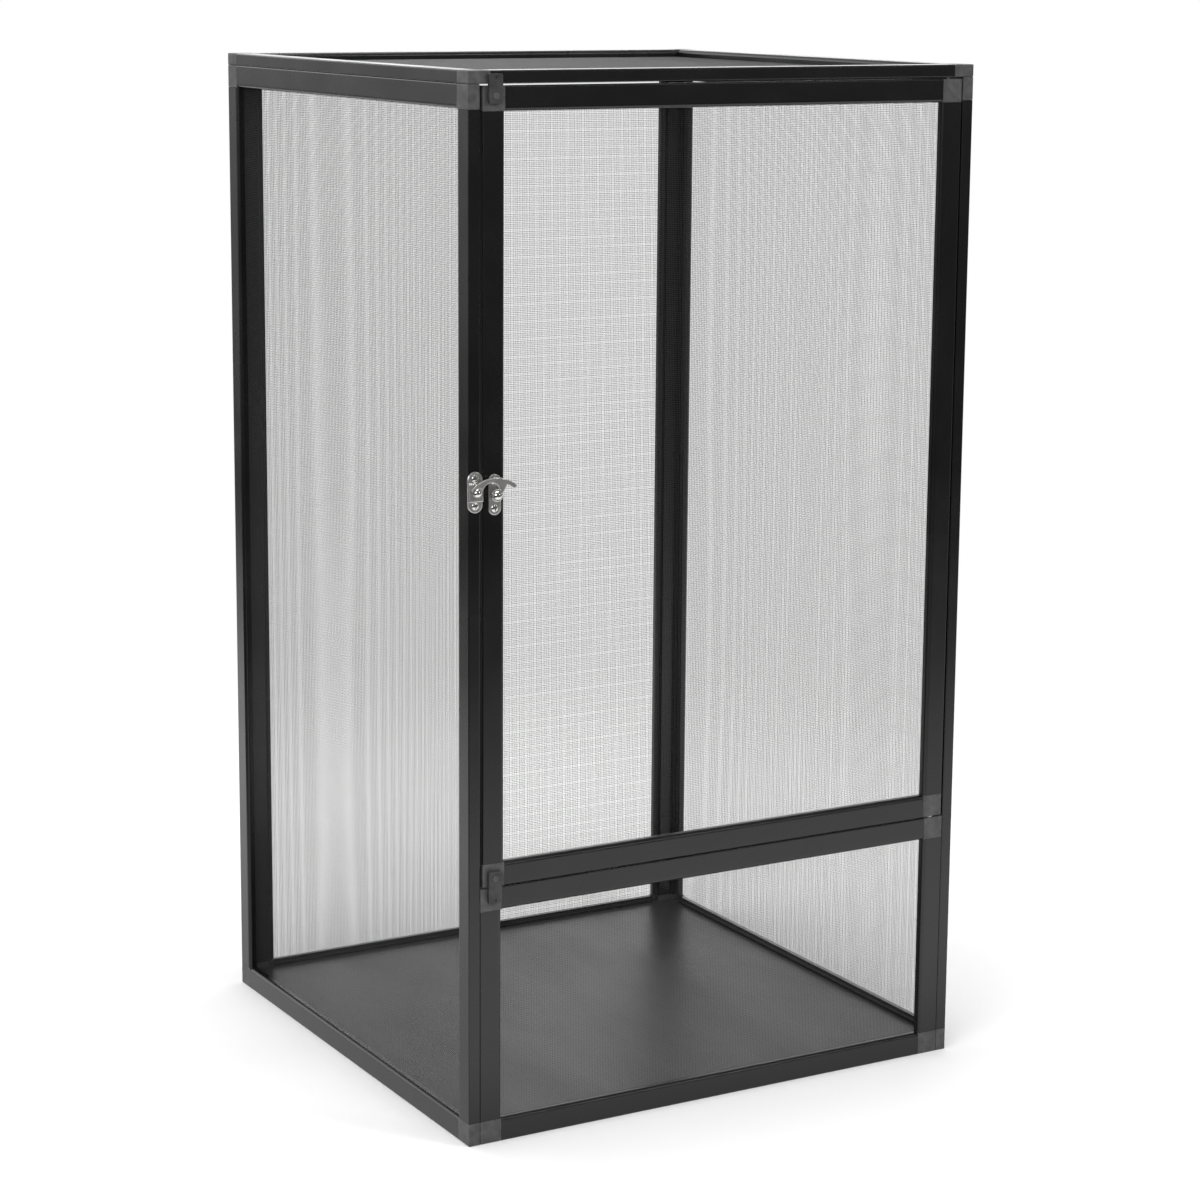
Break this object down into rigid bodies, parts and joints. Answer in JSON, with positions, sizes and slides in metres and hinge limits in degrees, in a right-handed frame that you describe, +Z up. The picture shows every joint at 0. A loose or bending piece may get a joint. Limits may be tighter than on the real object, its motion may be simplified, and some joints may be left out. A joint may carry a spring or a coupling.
{
  "type": "reptile terrarium",
  "caption": "Tall screen terrarium: framed mesh panels, hinged front door over a fixed lower panel, hook latch, turn tabs, mesh lid and floor board.",
  "frame": {"origin": "under the middle of the whole outline, on the surface that the cage stands on", "axes": "+X to the right seen from the front, +Y to the rear, +Z up; the door faces -Y"},
  "size_m": [0.441, 0.439, 0.8],
  "materials": {
    "bars": "satin black powder coat on aluminium",
    "mouldings": "matte moulded dark grey plastic",
    "screen": "woven aluminium insect screen",
    "spline": "extruded black cord",
    "floor": "smooth dark sheet",
    "plated": "bright nickel plate",
    "pins": "bright drawn wire",
    "dowels": "moulded"
  },
  "bodies": {
    "cage": {"left_front_stile": "bars", "left_rear_stile": "bars", "left_top_rail": "bars", "left_bottom_rail": "bars", "left_corner_blocks": "mouldings", "left_screen": "screen", "left_spline": "spline", "right_front_stile": "bars", "right_rear_stile": "bars", "right_top_rail": "bars", "right_bottom_rail": "bars", "right_corner_blocks": "mouldings", "right_screen": "screen", "right_spline": "spline", "rear_left_stile": "bars", "rear_right_stile": "bars", "rear_top_rail": "bars", "rear_bottom_rail": "bars", "rear_corner_blocks": "mouldings", "rear_screen": "screen", "rear_spline": "spline", "lid_left_bar": "bars", "lid_right_bar": "bars", "lid_front_bar": "bars", "lid_rear_bar": "bars", "lid_corner_blocks": "mouldings", "lid_screen": "screen", "lid_spline": "spline", "lower_left_stile": "bars", "lower_right_stile": "bars", "lower_top_rail": "bars", "lower_bottom_rail": "bars", "lower_corner_blocks": "mouldings", "lower_screen": "screen", "lower_spline": "spline", "door_hinge_washer": "pins", "floor_board": "floor", "floor_pins": "pins", "lid_dowels": "dowels", "rear_dowels": "dowels", "lower_dowels": "dowels", "keeper_plate": "plated", "keeper_screws": "plated", "keeper_stud": "plated"},
    "door": {"door_left_stile": "bars", "door_right_stile": "bars", "door_top_rail": "bars", "door_bottom_rail": "bars", "door_corner_blocks": "mouldings", "door_screen": "screen", "door_spline": "spline", "door_hinge_pins": "pins", "pivot_plate": "plated", "pivot_screws": "plated", "pivot_knob": "plated", "turn_tab_pins": "mouldings"},
    "hook": {"latch_hook": "plated"},
    "upper_tab": {"upper_turn_tab": "mouldings"},
    "lower_tab": {"lower_turn_tab": "mouldings"}
  },
  "joints": [
    {"name": "door_hinge", "type": "hinge", "parent": "cage", "child": "door", "pos_m": [0.1998, -0.2057, 0.5], "axis": [0, 0, 1], "range_deg": [0, 120]},
    {"name": "hook_pivot", "type": "hinge", "parent": "door", "child": "hook", "pos_m": [-0.1988, -0.21525, 0.4963], "axis": [0, 1, 0], "range_deg": [0, 60]},
    {"name": "upper_tab_pivot", "type": "hinge", "parent": "door", "child": "upper_tab", "pos_m": [-0.1988, -0.21125, 0.7821], "axis": [0, 1, 0], "range_deg": [0, 90]},
    {"name": "lower_tab_pivot", "type": "hinge", "parent": "door", "child": "lower_tab", "pos_m": [-0.1988, -0.21125, 0.2077], "axis": [0, -1, 0], "range_deg": [0, 90]}
  ]
}
